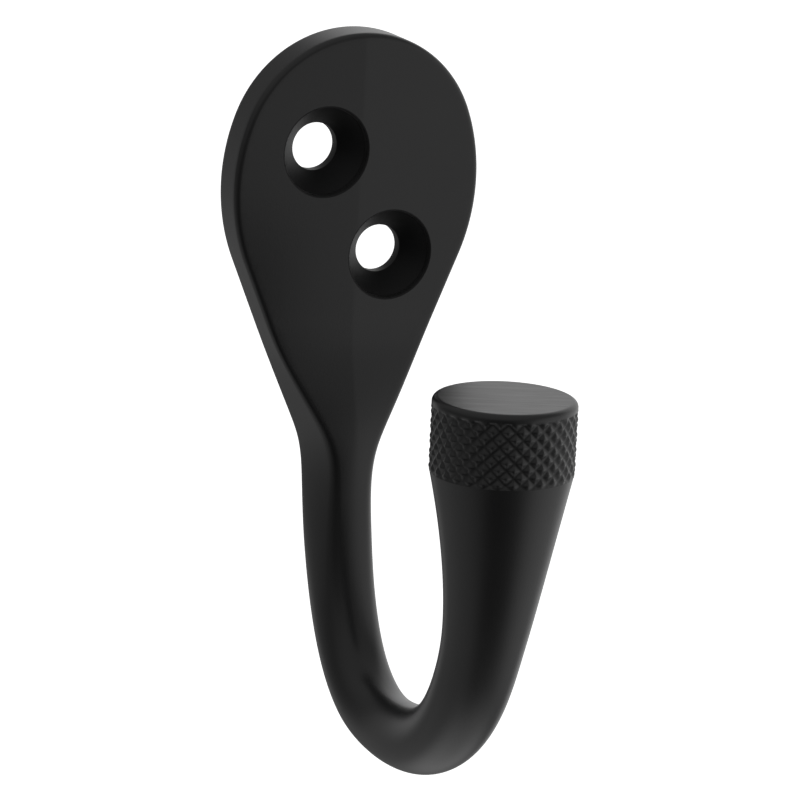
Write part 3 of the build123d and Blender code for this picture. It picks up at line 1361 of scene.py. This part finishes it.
@dataclass
class Studio:
    """Pale floor, an even surround with lighter and darker patches, and the camera.

    Sizes are in millimetres and angles in degrees.
    """

    azimuth: float = 26.285
    elevation: float = 15.282
    roll: float = 3.127
    distance: float = 442.94
    shift_right: float = 6.14
    shift_up: float = -21.385
    focal_length: float = 191.44
    sensor: float = 36.0
    nearest: float = 10.0
    farthest: float = 50000.0
    floor_z: float = -160.0
    floor_radius: float = 6000.0
    floor_sides: int = 96
    floor_colour: tuple[float, float, float] = (0.9, 0.9, 0.9)
    floor_roughness: float = 0.9
    floor_glow: float = 0.85
    surround: float = 0.19
    right_box: SoftLight = SoftLight(58.0, -11.0, 18.0, 34.0, 0.62)
    back_box: SoftLight = SoftLight(128.0, 6.0, 27.0, 23.0, 0.72)
    top_box: SoftLight = SoftLight(-60.0, 70.0, 24.0, 56.0, 0.24)
    wall_glow: SoftLight = SoftLight(-176.0, -6.0, 4.0, 22.0, 0.3)
    under_glow: SoftLight = SoftLight(165.0, -82.0, 16.0, 26.0, 0.65)
    low_glow: SoftLight = SoftLight(-118.0, -48.0, 14.0, 32.0, 0.2)
    camera_shade: SoftLight = SoftLight(-36.0, -8.0, 16.0, 18.0, -0.1)
    low_shade: SoftLight = SoftLight(-25.0, -45.0, 12.0, 20.0, -0.13)

    def axes(self) -> tuple[Vector, Vector, Vector]:
        """Directions of the camera.

        Returns:
            Its right, up and forward directions.
        """
        a, e, r = (radians(value) for value in (self.azimuth, self.elevation, self.roll))
        right = Vector((cos(a), -sin(a), 0.0))
        forward = Vector((sin(a) * cos(e), cos(a) * cos(e), -sin(e)))
        up = Vector((sin(a) * sin(e), cos(a) * sin(e), cos(e)))
        return right * cos(r) + up * sin(r), up * cos(r) - right * sin(r), forward

    def camera(self) -> bpy.types.Object:
        """Sets up the camera at the photograph's viewpoint.

        Returns:
            The camera.
        """
        right, up, forward = self.axes()
        data = bpy.data.cameras.new("camera")
        data.lens = self.focal_length
        data.sensor_width = self.sensor
        data.clip_start = self.nearest * MM
        data.clip_end = self.farthest * MM
        camera = bpy.data.objects.new("camera", data)
        place = (right * self.shift_right + up * self.shift_up - forward * self.distance) * MM
        turn = Matrix((right, up, -forward)).transposed().to_4x4()
        camera.matrix_world = Matrix.Translation(place) @ turn
        bpy.context.scene.collection.objects.link(camera)
        bpy.context.scene.camera = camera
        return camera

    def floor_paint(self) -> bpy.types.Material:
        """Makes the floor's pale paint, which glows for the camera alone.

        Returns:
            The material.
        """
        material = bpy.data.materials.new("pale_floor")
        material.use_nodes = True
        nodes = material.node_tree.nodes
        desk = NodeDesk(material.node_tree)
        paint = desk.fill(nodes["Principled BSDF"], {
            "Base Color": (*self.floor_colour, 1.0),
            "Roughness": self.floor_roughness,
            "Specular IOR Level": 0.0,
        })
        seen = desk.node("ShaderNodeLightPath").outputs[CAMERA_RAY]
        glow = desk.node("ShaderNodeEmission", {"Strength": desk.math("MULTIPLY", seen, self.floor_glow)})
        both = desk.node("ShaderNodeAddShader", {0: paint.outputs[0], 1: glow.outputs[0]})
        desk.fill(nodes["Material Output"], {"Surface": both.outputs[0]})
        return material

    def floor(self) -> bpy.types.Object:
        """Lays the pale floor well below the hook.

        Returns:
            The floor.
        """
        mesh = bpy.data.meshes.new("floor")
        work = bmesh.new()
        bmesh.ops.create_circle(
            work, cap_ends=True, segments=self.floor_sides, radius=self.floor_radius * MM
        )
        work.to_mesh(mesh)
        work.free()
        mesh.transform(Matrix.Translation((0.0, 0.0, self.floor_z * MM)))
        mesh.materials.append(self.floor_paint())
        floor = bpy.data.objects.new("floor", mesh)
        floor.visible_glossy = False
        floor.visible_diffuse = False
        floor.visible_shadow = False
        bpy.context.scene.collection.objects.link(floor)
        return floor

    def world(self) -> None:
        """Lights the scene from the surround and its soft patches; the camera sees plain white."""
        world = bpy.data.worlds.new("studio")
        world.use_nodes = True
        bpy.context.scene.world = world
        desk = NodeDesk(world.node_tree)
        place = desk.node("ShaderNodeTexCoord").outputs["Generated"]
        boxes = (self.right_box, self.back_box, self.top_box)
        glows = (self.wall_glow, self.under_glow, self.low_glow)
        level: float | bpy.types.NodeSocket = self.surround
        for patch in (*boxes, *glows, self.camera_shade, self.low_shade):
            dot = desk.node("ShaderNodeVectorMath", {0: place, 1: patch.direction}, operation="DOT_PRODUCT")
            span = {
                "Value": dot.outputs["Value"],
                "From Min": cos(radians(patch.core + patch.fade)),
                "From Max": cos(radians(patch.core)),
                "To Max": patch.strength,
            }
            fade = desk.node("ShaderNodeMapRange", span, interpolation_type="SMOOTHSTEP")
            level = desk.math("ADD", level, fade.outputs["Result"])
        lit = desk.math("MAXIMUM", level, 0.0)
        seen = desk.node("ShaderNodeLightPath").outputs[CAMERA_RAY]
        pick = desk.node("ShaderNodeMix", {"Factor": seen, "A": lit, "B": 1.0}, data_type="FLOAT")
        light = {"Color": WHITE, "Strength": pick.outputs["Result"]}
        desk.fill(world.node_tree.nodes["Background"], light)

    def build(self) -> None:
        """Builds the camera, the floor and the light."""
        self.camera()
        self.floor()
        self.world()
        bpy.context.scene.view_settings.view_transform = "Standard"
        LOG.info("studio is set")


def write_sizes() -> None:
    """Updates the view layer.
    """
    bpy.context.view_layer.update()


def main() -> None:
    """Builds the hook and its studio in order."""
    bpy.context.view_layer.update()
    Hook().build()
    Studio().build()
    write_sizes()


if __name__ == "__main__":
    main()
